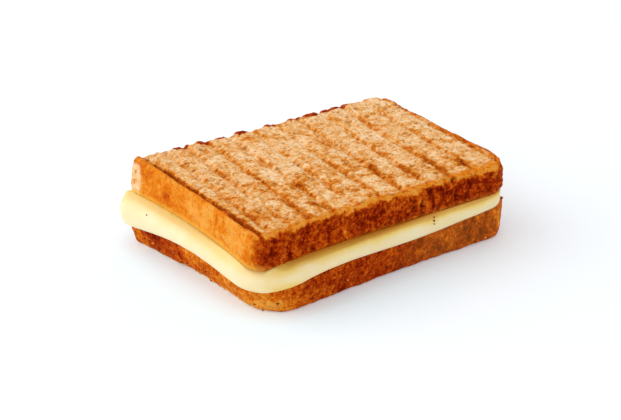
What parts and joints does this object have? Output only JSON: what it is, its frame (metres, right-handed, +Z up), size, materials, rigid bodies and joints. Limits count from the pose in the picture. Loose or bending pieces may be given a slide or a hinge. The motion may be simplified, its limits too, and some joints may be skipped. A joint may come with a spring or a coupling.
{
  "type": "grilled cheese sandwich",
  "caption": "Whole pressed toasted sandwich of brown tin bread with grill marks, and a thick layer of melted cheese that hangs out round the sides.",
  "frame": {"origin": "under the middle of the sandwich's box, on the surface that it rests on", "axes": "+Z up, +X along the slices' long side, +Y along their short side; the grill grooves run roughly along Y; the shown corner is at -X, -Y"},
  "size_m": [0.135, 0.1012, 0.0369],
  "materials": {
    "grilled_bread": "dry toasted brown bread: pale open crumb with darker grill grooves on the grilled face, orange-brown crust on the sides",
    "melted_cheese": "smooth melted cheese, cream to pale yellow, soft sheen"
  },
  "bodies": {
    "root": {"bread_slice_bottom": "grilled_bread", "bread_slice_top": "grilled_bread", "cheese_layer": "melted_cheese"}
  },
  "joints": []
}
